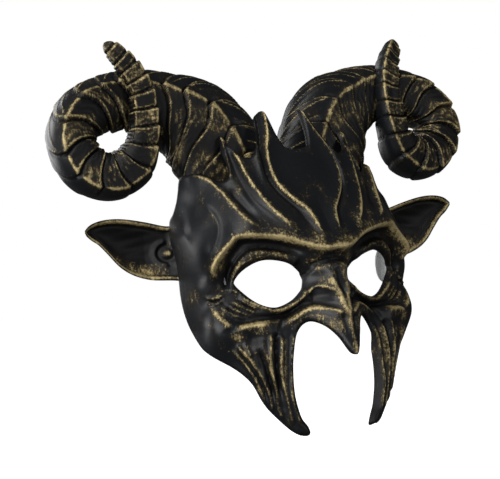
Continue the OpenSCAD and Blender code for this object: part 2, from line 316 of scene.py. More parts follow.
def carry(piece, name, values):
    """Gives a piece a number at each vertex."""
    layer = piece.data.attributes.get(name) or piece.data.attributes.new(name, "FLOAT", "POINT")
    layer.data.foreach_set("value", np.asarray(values, np.float32).ravel())


def apply_modifier(piece, kind, **settings):
    take(piece)
    modifier = piece.modifiers.new(kind.lower(), kind)
    for key, value in settings.items():
        setattr(modifier, key, value)
    bpy.ops.object.modifier_apply(modifier=modifier.name)


def smooth(piece, angle):
    take(piece)
    bpy.ops.object.shade_smooth_by_angle(angle=math.radians(angle))


def close_up(piece, reach):
    """Joins a rolled sheet's seam, fills its open ends and turns its faces outwards."""

    def work():
        bpy.ops.mesh.select_mode(type="VERT")
        bpy.ops.mesh.select_all(action="SELECT")
        bpy.ops.mesh.remove_doubles(threshold=reach)
        bpy.ops.mesh.select_all(action="DESELECT")
        bpy.ops.mesh.select_non_manifold(extend=False)
        bpy.ops.mesh.edge_face_add()
        bpy.ops.mesh.select_all(action="SELECT")
        bpy.ops.mesh.normals_make_consistent(inside=False)

    in_edit(piece, work)


def grid_sheet(name, columns, rows):
    """A sheet of columns by rows cells. Its x and y run from 0 to columns and from 0 to rows."""
    deselect_all()
    bpy.ops.mesh.primitive_grid_add(x_subdivisions=columns, y_subdivisions=rows, size=1)
    piece = bpy.context.object
    piece.name = name
    piece.data.name = name
    co = read(piece)
    co[:, 0] = np.round((co[:, 0] + 0.5) * columns)
    co[:, 1] = np.round((co[:, 1] + 0.5) * rows)
    write(piece, co)
    return piece


def finished(piece, body, node):
    """Last steps of every piece: which body it moves with and the node it stands for."""
    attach(piece, body)
    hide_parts(node)
    return piece


# ---------------------------------------------------------------- The face as a surface

HALF_WIDTH = 72.0
WRAP = 50.0
MM_PER_RADIAN = HALF_WIDTH
WALL = 2.6


def clamp(v, low, high):
    return np.minimum(np.maximum(v, low), high)


def eased(v):
    v = clamp(v, 0.0, 1.0)
    return v * v * (3 - 2 * v)


def bell(d, width):
    return np.exp(-((d / width) ** 2))


def front_y(z):
    return -9 + 33 * (clamp(z - 5, 0, 999) / 87) ** 1.8 + 5 * (clamp(5 - z, 0, 999) / 85) ** 2


def half_width(z):
    upper = 17 * clamp((z - 25) / 67, 0, 1.2) ** 1.7
    lower = 14 * (clamp(-z, 0, 999) / 80) ** 1.5
    return HALF_WIDTH - upper - lower


def face_point(p, z, h):
    """p is the distance round the face from its centre line, z the height, h how far it is raised."""
    turn = np.asarray(p, float) / MM_PER_RADIAN
    w = half_width(z)
    nx = WRAP * np.sin(turn)
    ny = -w * np.cos(turn)
    length = np.hypot(nx, ny)
    x = w * np.sin(turn) + h * nx / length
    y = front_y(z) + WRAP * (1 - np.cos(turn)) + h * ny / length
    return np.stack([x, y, z + 0 * x], -1)


def flowing(points, steps=6):
    """A smooth curve through points."""
    rows = np.array(points, float)
    last = len(rows) - 1
    out = []
    for i in range(last):
        a = rows[max(i - 1, 0)]
        b = rows[i]
        c = rows[i + 1]
        d = rows[min(i + 2, last)]
        for k in range(steps):
            t = k / steps
            out.append(
                0.5 * (2 * b + (c - a) * t + (2 * a - 5 * b + 4 * c - d) * t * t
                       + (3 * b - a - 3 * c + d) * t ** 3)
            )
    out.append(rows[last])
    return np.array(out)


def along(q, line):
    """For each place: signed distance to a line, positive on its left, and share of the way along."""
    near = np.full(len(q), 1e9)
    signed = np.zeros(len(q))
    share = np.zeros(len(q))
    lengths = np.linalg.norm(np.diff(line, axis=0), axis=1)
    ends = np.concatenate([[0], np.cumsum(lengths)])
    for i, length in enumerate(lengths):
        if length < 1e-9:
            continue
        way = (line[i + 1] - line[i]) / length
        d = q - line[i]
        t = clamp(d @ way, 0, length)
        off = d - t[:, None] * way
        far = np.hypot(off[:, 0], off[:, 1])
        turn = way[0] * d[:, 1] - way[1] * d[:, 0]
        closer = far < near
        near = np.where(closer, far, near)
        signed = np.where(closer, np.where(turn >= 0, far, -far), signed)
        share = np.where(closer, (ends[i] + t) / ends[-1], share)
    return signed, share


# ---------------------------------------------------------------- Outline of the face and the eyes

HALF_RIM = [
    (0, 70), (5, 70.6), (9, 72), (12, 79), (14, 88), (15.4, 91.8), (17.5, 93), (21, 91.5), (25, 88),
    (26, 80), (28, 73), (33, 67.4), (38, 67.4), (43, 69.5), (48, 75), (50.5, 79.6), (52.6, 79.5),
    (53.6, 72), (51, 64), (50.5, 58), (54, 55.4), (60, 56.4), (67, 59.6), (74, 61), (80, 60.4),
    (87.4, 59), (90.6, 51.6), (93.2, 46), (96.8, 40.5), (101.8, 35), (101, 20), (99.8, 6),
    (99.4, -6), (97.8, -15), (94, -23.6), (86.4, -31.8), (80.6, -35.6), (73.4, -39.4),
    (66.4, -43.2), (60.2, -47.6), (55, -53.2), (51.2, -61.6), (47.8, -67), (43.4, -71.8),
    (36.4, -78.4), (31, -81.8), (26, -83.2), (23, -82), (24, -78), (27.2, -73.4), (28.8, -67),
    (29.6, -60), (29, -50), (27.2, -39), (25.9, -32.6), (23.8, -28), (20.6, -24.4), (17, -22.8),
    (13, -23.8), (9, -27), (5.6, -32.2), (3.2, -38), (1.6, -40.8), (0, -41.6),
]
EYE = [
    (57.8, 0.6), (56.4, 3), (53, 5.9), (49, 8.2), (44, 10.3), (39, 11.4), (34, 11.3), (28, 10.2),
    (23, 8.4), (18.6, 5.4), (15.8, 2.2), (15, -1), (16.6, -5), (20, -8.4), (24, -11.2),
    (30, -13.4), (35, -13.8), (41, -12.2), (47, -9), (52.4, -4.8), (56.4, -1.2),
]


def closed_loop(points):
    """A smooth closed curve through points."""
    rows = np.array(points, float)
    wrapped = np.concatenate([rows[-2:], rows, rows[:2]])
    return flowing(wrapped, 5)[10:-10]


def loop_depth(q, loop):
    """Distance to a closed loop, positive inside it."""
    ring = np.concatenate([loop, loop[:1]])
    off, _ = along(q, ring)
    inside = np.zeros(len(q), bool)
    for a, b in zip(ring[:-1], ring[1:]):
        spans = (a[1] > q[:, 1]) != (b[1] > q[:, 1])
        rise = b[1] - a[1] if abs(b[1] - a[1]) > 1e-12 else 1e-12
        inside ^= spans & (q[:, 0] < a[0] + (q[:, 1] - a[1]) / rise * (b[0] - a[0]))
    return np.where(inside, np.abs(off), -np.abs(off))


RIM = flowing(HALF_RIM, 5)
RIM_LOOP = np.concatenate([RIM, (RIM * [-1, 1])[-2:0:-1]])
EYE_LOOP = closed_loop(EYE)


def depth_in(q):
    """How far a place is inside the moulding, negative outside it and in the eyes."""
    folded = np.stack([np.abs(q[:, 0]), q[:, 1]], -1)
    return np.minimum(loop_depth(folded, RIM_LOOP), -loop_depth(folded, EYE_LOOP))


# ---------------------------------------------------------------- Relief of the face

# Each stroke of the modelling tool: points in mm round the face and up; how far it raises the
# surface; its width to the left and to the right of the way it runs; how sharp its crest is; the
# share of its length over which each end fades; how much gilt sits on it and how wide that is.
STROKES = [
    # Crown flames, inner, middle and outer, each with the hollow behind it
    ([(16.4, 92), (17.3, 86), (19, 80), (22, 73), (23.5, 66), (23.5, 60), (22.5, 54), (20, 49),
      (16, 44), (12, 40), (8.5, 36), (6.5, 30), (5.5, 24), (5, 19)],
     2.6, 1.7, 5.0, 1.3, 0.0, 0.14, 1.05, 0.95),
    ([(22, 90), (24, 80), (26, 72), (26.3, 64), (25.7, 56), (23.5, 50), (19.5, 44.5), (15.5, 40),
      (12, 35), (9.8, 28), (9, 22)], -2.3, 2.0, 1.6, 1.6, 0.0, 0.3, 0.0, 1.0),
    ([(25, 84), (27.6, 74), (28.6, 66), (28.4, 58), (26.5, 51), (23, 45), (19, 40)],
     1.1, 2.4, 1.5, 1.6, 0.1, 0.5, 0.0, 1.0),
    ([(51, 79), (47, 75), (44, 70), (42, 66), (40, 60), (38, 55), (35, 49), (33, 45), (30, 40),
      (27, 36), (22, 30), (18, 25), (15, 22)],
     2.9, 2.4, 4.4, 1.3, 0.0, 0.24, 1.05, 1.0),
    ([(49.8, 72), (46.5, 66), (44.5, 60), (42.5, 54), (39, 46), (35, 40), (30, 34)],
     -1.4, 3.0, 2.2, 1.8, 0.1, 0.4, 0.0, 1.0),
    ([(50.8, 77), (50, 72), (49.3, 66), (49, 60), (50, 56)],
     1.5, 1.2, 1.2, 1.5, 0.0, 0.1, 0.75, 0.7),
    ([(80, 59.5), (74, 59.5), (69, 58.5), (65, 57), (61, 54), (58, 51), (55, 48), (52, 44),
      (49, 40), (46, 36), (43, 33), (39, 30), (35, 28)],
     2.7, 7.0, 2.2, 1.3, 0.2, 0.18, 1.0, 0.95),
    ([(52, 51), (49, 46), (45, 41), (41, 36), (36, 32)],
     -1.6, 2.0, 3.0, 1.8, 0.2, 0.4, 0.0, 1.0),
    # Rim of the notches
    ([(0, 70.5), (5, 70.9), (9, 72.4)], 0.8, 1.5, 1.5, 1.6, 0.0, 0.1, 0.7, 1.0),
    ([(26, 80), (28, 73.4), (33, 68), (38, 68)], 0.3, 1.2, 1.2, 1.6, 0.1, 0.1, 0.4, 0.8),
    # Temple curl
    ([(75, 46), (70, 43), (65, 39), (62, 34), (61.5, 30), (63, 25), (67, 19), (73, 16), (78, 14)],
     1.3, 6.5, 1.8, 1.6, 0.3, 0.35, 0.36, 1.0),
    ([(80, 30), (88, 28), (96, 26)], 1.8, 7.0, 7.0, 2.0, 0.4, 0.0, 0.12, 4.0),
    # Brow
    ([(0, 15.4), (5, 15.2), (10, 16), (15, 18), (20, 20), (25, 22), (30, 23), (35, 24),
      (40, 24.5), (45, 25), (51, 25), (55, 22), (60, 18), (64, 14), (66.5, 10.5), (68, 7),
      (67, 4), (65, 3)],
     4.4, 7.5, 2.1, 1.3, 0.0, 0.1, 1.1, 2.1),
    ([(0, 16.5), (6, 16.2), (12, 17.2), (18, 19.4)], 0.3, 2.5, 2.5, 2.0, 0.0, 0.3, 0.75, 2.1),
    ([(54, 22.6), (60, 17.6), (65, 12), (67.4, 6.6), (65.5, 4)],
     0.8, 1.6, 2.6, 1.8, 0.2, 0.1, 0.85, 1.9),
    ([(13, 12.5), (20, 16), (27, 18.6), (34, 20.2), (41, 21), (48, 20.8), (53, 18), (58, 13.4),
      (61.5, 8), (63.5, 2), (64.5, -3)],
     -3.0, 2.9, 3.2, 2.0, 0.15, 0.1, 0.0, 1.0),
    ([(57, 13), (60.4, 7), (62.6, 1.6), (64.6, -2.6)], -2.4, 2.0, 2.4, 2.0, 0.3, 0.2, 0.0, 1.0),
    ([(20, 13.2), (27, 15.8), (34, 17.6), (40, 18.4), (47, 17.6), (53, 14), (58, 8.6), (61, 3)],
     -1.5, 0.9, 1.3, 1.6, 0.2, 0.2, 0.0, 1.0),
    ([(22, 11), (29, 13.6), (36, 15.2), (43, 15.2), (49, 13), (54, 9.4), (58, 5)],
     1.0, 1.8, 2.0, 2.0, 0.2, 0.2, 0.0, 1.3),
    ([(32, 13.1), (40, 13.4), (46, 12.5), (52, 9.7), (56, 6), (58.4, 2.6)],
     0.5, 0.9, 0.9, 1.8, 0.2, 0.2, 0.6, 0.6),
    # Inner corner of the eye
    ([(12, 2), (16, 5.5), (21, 9.5)], -2.4, 3.4, 3.4, 2.0, 0.1, 0.3, 0.0, 1.0),
    ([(13.4, -6), (15, -1), (14.6, 3)], -1.6, 2.4, 2.6, 2.0, 0.1, 0.1, 0.0, 1.0),
    ([(14.6, -4), (17, -8.6), (20, -11), (25, -13.5), (30, -14.9), (35, -15), (40, -13.5),
      (45, -11.4), (50, -8.8), (55, -5)],
     1.7, 1.2, 1.5, 1.6, 0.1, 0.1, 0.9, 0.75),
    ([(15, -10.4), (19, -13), (24, -15.4), (30, -17.4), (36, -18), (43, -17.8), (50, -17),
      (57, -16.6)],
     -1.5, 1.3, 1.4, 1.8, 0.1, 0.3, 0.0, 1.0),
    ([(20, -15), (26, -17.8), (32, -19), (40, -19.3), (48, -19.3), (56, -19.4), (61, -18.6)],
     -2.4, 1.5, 1.3, 1.8, 0.15, 0.2, 0.0, 1.0),
    # Wrinkles under the outer corner of the eye
    ([(43, -14), (49, -11.4), (56, -7)], 0.9, 0.7, 0.7, 1.6, 0.2, 0.2, 0.75, 0.5),
    ([(45, -16), (52, -13), (60, -8.6)], 0.9, 0.7, 0.7, 1.6, 0.2, 0.2, 0.75, 0.5),
    ([(48, -17.3), (55, -14.6), (62, -11)], 0.9, 0.7, 0.7, 1.6, 0.2, 0.2, 0.75, 0.5),
    ([(54, -17.6), (60, -15.4), (66, -11.8)], 0.9, 0.7, 0.7, 1.6, 0.2, 0.2, 0.7, 0.5),
    ([(52, -6.4), (57, -3.4), (61, -2)], 0.7, 0.7, 0.7, 1.6, 0.2, 0.2, 0.6, 0.5),
    ([(44, -15), (50, -12.2), (58, -7.8)], -0.9, 0.6, 0.6, 1.6, 0.2, 0.2, 0.0, 0.5),
    ([(47, -16.7), (54, -13.8), (61, -9.8)], -0.9, 0.6, 0.6, 1.6, 0.2, 0.2, 0.0, 0.5),
    ([(51, -17.6), (58, -15), (64, -11.4)], -0.9, 0.6, 0.6, 1.6, 0.2, 0.2, 0.0, 0.5),
    ([(60, -14), (66, -9.6), (72, -7.6)], -0.8, 0.6, 0.6, 1.6, 0.2, 0.2, 0.0, 0.5),
    ([(64, -4.4), (69, -6.2), (74, -6), (77, -4)], 0.8, 0.8, 0.8, 1.6, 0.2, 0.4, 0.8, 0.6),
    ([(65, -8), (70, -9.2), (75, -8.4)], 0.9, 0.7, 0.7, 1.6, 0.2, 0.1, 0.7, 0.5),
    ([(64.6, -6.4), (70, -7.7), (75, -7)], -0.9, 0.6, 0.6, 1.6, 0.2, 0.1, 0.0, 0.5),
    # Cheekbone
    ([(36, -20.6), (42, -21.2), (48, -21.5), (54, -22.2), (59, -23.8), (62, -26.4)],
     2.9, 1.5, 4.6, 1.4, 0.25, 0.35, 1.0, 1.9),
    ([(60.6, -24), (62, -20.6), (66, -17.4), (69.6, -14), (73, -11), (75.4, -7.4)],
     1.6, 2.8, 3.2, 1.7, 0.2, 0.4, 0.85, 1.6),
    ([(43, -27), (49, -28.6), (55, -28.6)], -1.5, 4.4, 3.6, 2.0, 0.4, 0.4, 0.0, 1.0),
    # Nose: fold between the brows, bridge, and the scroll of the nostril
    ([(0, 9.2), (5, 8.7), (10, 7.6), (14, 7)], -2.3, 1.9, 1.9, 1.8, 0.0, 0.3, 0.0, 1.0),
    ([(0, 12), (4, 11.6), (9, 11.4)], -0.8, 0.9, 0.9, 1.8, 0.0, 0.3, 0.0, 1.0),
    ([(1.5, 6.2), (6, 5.2), (11.5, 3)], 0.7, 2.0, 3.0, 2.0, 0.3, 0.4, 0.5, 2.0),
    ([(5.2, 4.5), (4.2, -1), (2.8, -7), (1.6, -13), (0.8, -19), (0.4, -26)],
     1.5, 1.5, 2.0, 1.5, 0.2, 0.3, 0.85, 1.5),
    ([(0, 6), (0, 0), (0, -6), (0, -11)], -1.2, 1.8, 1.8, 2.0, 0.2, 0.3, 0.0, 1.0),
    ([(0, -14), (0, -24), (0, -34), (0, -41)], 0.7, 1.8, 1.8, 1.5, 0.2, 0.0, 0.8, 1.5),
    ([(1.5, -1), (3.5, 2.5), (7, 4)], 0.5, 1.2, 1.2, 1.8, 0.2, 0.3, 0.6, 1.0),
    ([(8, -27), (5, -33), (2.4, -39)], 0.3, 2.0, 2.0, 2.0, 0.2, 0.2, 0.45, 1.5),
    ([(2.4, -11), (3.8, -7.6), (6.6, -5.3), (10, -4.5), (12.4, -5.3), (14.6, -8), (16.6, -11.2)],
     1.7, 1.6, 1.2, 1.5, 0.1, 0.3, 0.85, 0.75),
    ([(4.6, -10.4), (7.6, -10.6), (11, -10.8), (14, -12)], -1.9, 2.6, 2.4, 2.0, 0.1, 0.2, 0.0, 1.0),
    ([(3, -17.4), (6, -15), (10, -13.4), (14, -13), (18, -14.3), (24, -17), (30, -20.4),
      (33, -24), (35, -30)],
     -2.0, 1.4, 1.3, 1.8, 0.1, 0.3, 0.0, 1.0),
    ([(1.6, -20.4), (5, -18), (8, -16.8), (12, -15.9), (16, -16), (20, -17.5), (24, -20),
      (28, -22.2), (31, -23.6)],
     2.1, 1.6, 2.6, 1.5, 0.1, 0.3, 0.95, 1.05),
    ([(2, -26), (6, -23), (11, -20.4), (17, -19.6), (22, -22), (26, -28)],
     0.5, 1.6, 1.6, 2.0, 0.1, 0.2, 0.5, 1.6),
    ([(3, -20.6), (2.6, -26), (1.8, -32)], -0.9, 1.2, 1.2, 2.0, 0.2, 0.3, 0.0, 1.0),
    ([(1.5, -31), (4.4, -27), (8, -24)], 0.2, 2.0, 2.0, 2.0, 0.1, 0.2, 0.5, 1.8),
    # Cheek prongs
    ([(25.6, -27), (28, -34), (29.6, -42), (30.8, -50), (31.7, -56), (32, -62), (31, -68),
      (28.6, -78)], 1.4, 1.3, 1.2, 1.5, 0.1, 0.1, 0.66, 1.0),
    ([(33, -27), (34.5, -36), (36, -44), (36.5, -50), (36, -56), (35.5, -60), (35, -66),
      (34, -77)], 1.7, 1.5, 1.5, 1.4, 0.1, 0.1, 0.78, 1.15),
    ([(31, -29), (32.4, -36), (33.6, -44), (34, -53)], 0.2, 2.2, 2.2, 2.0, 0.1, 0.2, 0.6, 2.0),
    ([(35.6, -26), (37.6, -34), (38.6, -43), (39, -52), (38.4, -64)],
     -2.2, 1.3, 1.3, 1.8, 0.1, 0.3, 0.0, 1.0),
    ([(39.4, -25), (40.6, -34), (41.8, -42), (41.5, -50), (41, -58), (41, -66), (39, -74)],
     1.7, 1.3, 1.3, 1.4, 0.1, 0.1, 0.74, 1.0),
    ([(44.4, -28), (44.6, -34), (43, -41)], 1.0, 1.0, 1.0, 1.5, 0.3, 0.1, 0.65, 0.7),
    ([(48, -33), (45.6, -41), (44.2, -49), (43.2, -58), (43, -64)],
     -2.0, 1.5, 1.4, 1.8, 0.2, 0.3, 0.0, 1.0),
    ([(60.4, -30.6), (55, -37), (51, -43), (48, -49), (46, -55), (45, -62), (45, -69)],
     1.8, 1.4, 1.4, 1.4, 0.1, 0.1, 0.78, 1.05),
    ([(55.6, -30), (54, -33.6), (52, -38)], 1.1, 1.0, 1.0, 1.5, 0.3, 0.1, 0.7, 0.7),
    ([(61, -34), (56, -40), (52, -46), (49.4, -52), (47.6, -59), (47, -65)],
     -1.2, 1.1, 1.1, 1.8, 0.2, 0.3, 0.0, 1.0),
    ([(63.6, -33), (58, -40), (54, -46.6), (51, -53), (49.2, -60), (48.2, -66)],
     1.3, 1.2, 1.8, 1.5, 0.15, 0.1, 0.64, 0.95),
    ([(38, -66), (37.4, -72), (34, -77)], 0.3, 2.0, 2.0, 2.0, 0.3, 0.2, 0.45, 1.6),
]
# Places where the brush only dusted the face: centre, half sizes and how much gilt it left
DUSTED = [
    ((20, 28), (4.0, 6.0), 0.5), ((46, 49), (5.0, 6.0), 0.42), ((34, 50), (3.0, 4.0), 0.36),
    ((52, 60), (4.0, 5.0), 0.4), ((72, 47), (7.0, 4.0), 0.32), ((34, 71), (5.0, 4.0), 0.34),
    ((8, 22), (7.0, 6.0), 0.42), ((6, 44), (5.0, 10.0), 0.28), ((6, 12.6), (8.0, 3.0), 0.5),
    ((5, -1), (5.5, 5.5), 0.52), ((11, 8.5), (6.0, 3.0), 0.55), ((58, -27), (5.0, 3.6), 0.66),
    ((64, 9.5), (3.0, 5.5), 0.6), ((46, -25), (9.0, 2.6), 0.45), ((84, -2), (6.0, 8.0), 0.2),
    ((42, -36), (9.0, 9.0), 0.34), ((36, -58), (9.0, 17.0), 0.26), ((8, -27), (8.0, 7.0), 0.58),
    ((10, 19), (10.0, 4.0), 0.6), ((30, 26.5), (14.0, 3.0), 0.42), ((59, -12), (12.0, 7.0), 0.46),
    ((52, -34), (8.0, 6.0), 0.34), ((12, -22), (12.0, 5.0), 0.36), ((30, 60), (12.0, 20.0), 0.2),
    ((60, 50), (12.0, 8.0), 0.24), ((40, 31), (16.0, 4.0), 0.3), ((95, 20), (7.0, 16.0), 0.2),
]


def nose_profile(z):
    lower = 12.1 + 7.6 * (z + 13) / -28
    middle = 17 * (0.70 - 0.36 * (z + 13) / 25)
    upper = 17 * 0.34 * bell(z - 12, 16)
    return np.where(z < -13, lower, np.where(z < 12, middle, upper))


def relief(p, z):
    """Height of the modelling above the plain face, and the gilt on it."""
    q = np.stack([np.abs(p), z], -1)
    x = q[:, 0]
    wide = np.where(z < 0, 8.6 + 6.0 * eased((-8 - z) / 14), 8.6 + z * 0.3)
    height = nose_profile(z) * bell(x, wide)
    # Broad masses: brow shelf, eye sockets, cheeks, prongs and forehead
    height = height + 1.6 * bell(along(q, flowing([(8, 19), (30, 27), (52, 27), (64, 18)]))[0], 8)
    height = height - 4.2 * bell(x - 37, 21) * bell(z + 3, 12.5)
    height = height - 2.0 * bell(x - 15, 7) * bell(z - 1, 8)
    height = height + 2.6 * bell(along(q, flowing([(40, -24), (58, -24), (71, -19)]))[0], 7)
    height = height + 3.2 * bell(along(q, flowing([(46, -34), (38, -52), (29, -78)]))[0], 11)
    height = height - 2.4 * eased((z - 32) / 26) * (1 - eased((x - 70) / 14))
    height = height + 1.2 * bell(x - 84, 14) * bell(z + 6, 22)
    height = height + 5.6 * bell(x - 69, 10) * bell(z + 26, 10)
    height = height + 2.2 * bell(x - 76, 9) * bell(z - 1, 8)
    height = height + 2.6 * bell(x - 67, 6) * bell(z - 12, 7)
    height = height + 2.6 * eased((-22 - z) / 16) * eased((x - 12) / 12)
    height = height - 2.6 * bell(x - 82, 9) * bell(z - 43, 9)
    gilt = np.zeros(len(q))
    for points, rise, left, right, sharp, fade_in, fade_out, amount, spread in STROKES:
        line = flowing(points, 5)
        reach = 3.2 * max(left, right, spread)
        low = line.min(0) - reach
        high = line.max(0) + reach
        close = np.where(((q > low) & (q < high)).all(1))[0]
        if not len(close):
            continue
        off, share = along(q[close], line)
        fade = np.ones(len(close))
        if fade_in:
            fade = fade * eased(share / fade_in)
        if fade_out:
            fade = fade * eased((1 - share) / fade_out)
        width = np.where(off > 0, left, right)
        height[close] += rise * fade * np.exp(-((np.abs(off) / width) ** sharp))
        if amount:
            body = bell(off, spread * 0.92)
            halo = 0.46 * bell(off, spread * 2.3)
            mark = amount * (0.3 + 0.7 * fade) * fade ** 0.3 * np.maximum(body, halo)
            gilt[close] = np.maximum(gilt[close], mark)
    for centre, size, amount in DUSTED:
        spot = amount * bell(x - centre[0], size[0]) * bell(z - centre[1], size[1])
        gilt = np.maximum(gilt, spot)
    return height, gilt


def blurred(field, radius):
    """A grid of heights with its detail smoothed away."""
    for axis in (0, 1):
        reach = int(3 * radius)
        weights = np.exp(-0.5 * (np.arange(-reach, reach + 1) / radius) ** 2)
        weights /= weights.sum()
        wide = np.pad(field, [(reach, reach) if a == axis else (0, 0) for a in (0, 1)], "edge")
        field = sum(
            w * np.take(wide, np.arange(k, k + field.shape[axis]), axis)
            for k, w in enumerate(weights)
        )
    return field


def sampled(field, low, pitch, q):
    """A grid of heights read at any place."""
    at = (q - low) / pitch
    i = clamp(at[:, 0].astype(int), 0, field.shape[1] - 2)
    j = clamp(at[:, 1].astype(int), 0, field.shape[0] - 2)
    fx = at[:, 0] - i
    fy = at[:, 1] - j
    lower = field[j, i] * (1 - fx) + field[j, i + 1] * fx
    upper = field[j + 1, i] * (1 - fx) + field[j + 1, i + 1] * fx
    return lower * (1 - fy) + upper * fy


def trim_to_outline(piece, low, pitch):
    """Cuts a flat sheet along the outline: near corners move on to it and the rest goes."""
    co = read(piece)
    q = co[:, :2] * pitch + low
    depth = depth_in(q)
    columns = int(co[:, 0].max()) + 1
    index = np.zeros((int(co[:, 1].max()) + 1, columns), int)
    index[co[:, 1].astype(int), co[:, 0].astype(int)] = np.arange(len(co))
    moved = q.copy()
    best = np.full(len(q), 0.5)
    for a, b in ((index[:, :-1], index[:, 1:]), (index[:-1], index[1:])):
        a = a.ravel()
        b = b.ravel()
        crossed = (depth[a] > 0) != (depth[b] > 0)
        a, b = a[crossed], b[crossed]
        share = depth[a] / (depth[a] - depth[b])
        for one, other, part in ((a, b, share), (b, a, 1 - share)):
            order = np.argsort(-part)
            one, other, part = one[order], other[order], part[order]
            close = part <= best[one]
            one, other, part = one[close], other[close], part[close]
            moved[one] = q[one] + (q[other] - q[one]) * part[:, None]
            best[one] = part
    on_edge = best < 0.5
    side = np.where(on_edge, 0, np.sign(depth)).astype(int)
    write(piece, np.concatenate([moved, np.zeros((len(q), 1))], 1))
    corners = np.array([list(f.vertices) for f in piece.data.polygons])
    around = side[corners]
    one_out = (around < 0).sum(1) == 1
    even_out = one_out & ((around[:, 0] < 0) | (around[:, 2] < 0))
    odd_out = one_out & ~even_out
    marks = np.where(odd_out, 2, np.where(even_out, 1, 0))
    piece.data.polygons.foreach_set("material_index", marks)
    for mark, way in ((1, "FIXED_ALTERNATE"), (2, "FIXED")):
        now = np.zeros(len(piece.data.polygons), int)
        piece.data.polygons.foreach_get("material_index", now)
        pick_faces(piece, now == mark)
        in_edit(piece, lambda: bpy.ops.mesh.quads_convert_to_tris(quad_method=way))
    piece.data.polygons.foreach_set("material_index", np.zeros(len(piece.data.polygons), int))
    drop = []
    flat = read(piece)[:, :2]
    faces = [list(f.vertices) for f in piece.data.polygons]
    middles = np.array([flat[c].mean(0) for c in faces])
    deep = depth_in(middles)
    for corners_of, middle_depth in zip(faces, deep):
        out = (side[corners_of] < 0).any()
        rim_only = (side[corners_of] == 0).all()
        drop.append(bool(out or (rim_only and middle_depth < 0)))
    pick_faces(piece, drop)
    in_edit(piece, lambda: bpy.ops.mesh.delete(type="FACE"))
    remove_loose(piece)


def pick_faces(piece, flags):
    """Selects the faces that flags marks, and nothing else."""
    mesh = piece.data
    flags = np.asarray(flags, bool)
    mesh.polygons.foreach_set("select", flags)
    corner_flags = np.zeros(len(mesh.vertices), bool)
    edge_flags = np.zeros(len(mesh.edges), bool)
    loop_vertices = np.zeros(len(mesh.loops), int)
    loop_edges = np.zeros(len(mesh.loops), int)
    totals = np.zeros(len(mesh.polygons), int)
    mesh.loops.foreach_get("vertex_index", loop_vertices)
    mesh.loops.foreach_get("edge_index", loop_edges)
    mesh.polygons.foreach_get("loop_total", totals)
    chosen = np.repeat(flags, totals)
    corner_flags[loop_vertices[chosen]] = True
    edge_flags[loop_edges[chosen]] = True
    mesh.vertices.foreach_set("select", corner_flags)
    mesh.edges.foreach_set("select", edge_flags)
    bpy.context.tool_settings.mesh_select_mode = (False, False, True)
    take(piece)


def remove_loose(piece):
    def work():
        bpy.ops.mesh.select_all(action="SELECT")
        bpy.ops.mesh.delete_loose()

    in_edit(piece, work)


SHEET_HALF_WIDTH = 104.25
SHEET_FOOT = -84.0
SHEET_HEIGHT = 178.5


def make_face(pitch=0.75):
    low = np.array([-SHEET_HALF_WIDTH, SHEET_FOOT])
    columns = round(2 * SHEET_HALF_WIDTH / pitch)
    rows = round(SHEET_HEIGHT / pitch)
    piece = grid_sheet("face", columns, rows)
    trim_to_outline(piece, low, pitch)
    apply_modifier(
        piece, "SOLIDIFY", thickness=WALL, offset=-1, use_rim=True, material_offset=1
    )
    co = read(piece)
    p, z = co[:, 0], co[:, 1]
    inner = co[:, 2] < -0.1
    # The broad form is the relief on a grid of 1 mm, with its detail smoothed away
    whole = np.arange(int(SHEET_HALF_WIDTH) + 1.0)
    heights = np.arange(-86, 97, 1.0)
    gp, gz = np.meshgrid(np.concatenate([-whole[:0:-1], whole]), heights)
    coarse, _ = relief(gp.ravel(), gz.ravel())
    coarse = coarse.reshape(gp.shape)
    corner = np.array([gp.min(), gz.min()])
    calm = sampled(blurred(coarse, 3.0), corner, 1.0, co[:, :2])
    local = sampled(blurred(coarse, 1.6), corner, 1.0, co[:, :2])
    height, gilt = relief(p, z)
    edge = depth_in(co[:, :2])
    height = height - 1.1 * (1 - clamp(edge / 1.6, 0, 1)) ** 2
    middle = np.interp(z, [-84, -76, -60, -45, -30, -20], [28, 33, 38, 42, 46, 60])
    mouth_side = eased((-30 - z) / 14) * (np.abs(p) < middle) * eased((np.abs(p) - 16) / 6)
    height = height - 2.4 * mouth_side * (1 - clamp(edge / 2.8, 0, 1)) ** 1.6
    proud = height - local
    gilt = np.maximum(gilt, 0.75 * clamp(proud / 1.2, 0, 1) ** 0.8)
    gilt = np.maximum(gilt, 0.5 * (1 - clamp(edge / 1.4, 0, 1)) * (z < 60))
    gilt = gilt * (1 - 0.7 * clamp(-proud / 0.8, 0, 1))
    # Painted shade: hollows below the surrounding surface, the socket under the brow and the hollow
    # under the cheekbone are darkened
    painted_shade = clamp(-proud / 1.1, 0, 1)
    painted_shade = np.maximum(painted_shade, 0.8 * bell(np.abs(p) - 36, 17) * bell(z - 15, 5))
    painted_shade = np.maximum(painted_shade, 0.6 * bell(np.abs(p) - 44, 8) * bell(z + 29, 5))
    # The wall thins beside the strap tab so that the tab turns clear of it
    inside = calm - WALL + 1.5 * bell(np.abs(p) - 90, 16) * bell(z - 36, 15)
    inside = np.minimum(inside, height - 1.1)
    placed = face_point(p, z, np.where(inner, inside, height))
    write(piece, placed * MM)
    carry(piece, "gilt", np.where(inner, 0, gilt))
    carry(piece, "painted_shade", np.where(inner, 0, painted_shade))
    piece.data.materials.append(FACE)
    piece.data.materials.append(INSIDE)
    smooth(piece, 55)
    return finished(piece, "mask", "face_shell")


# ---------------------------------------------------------------- Horns

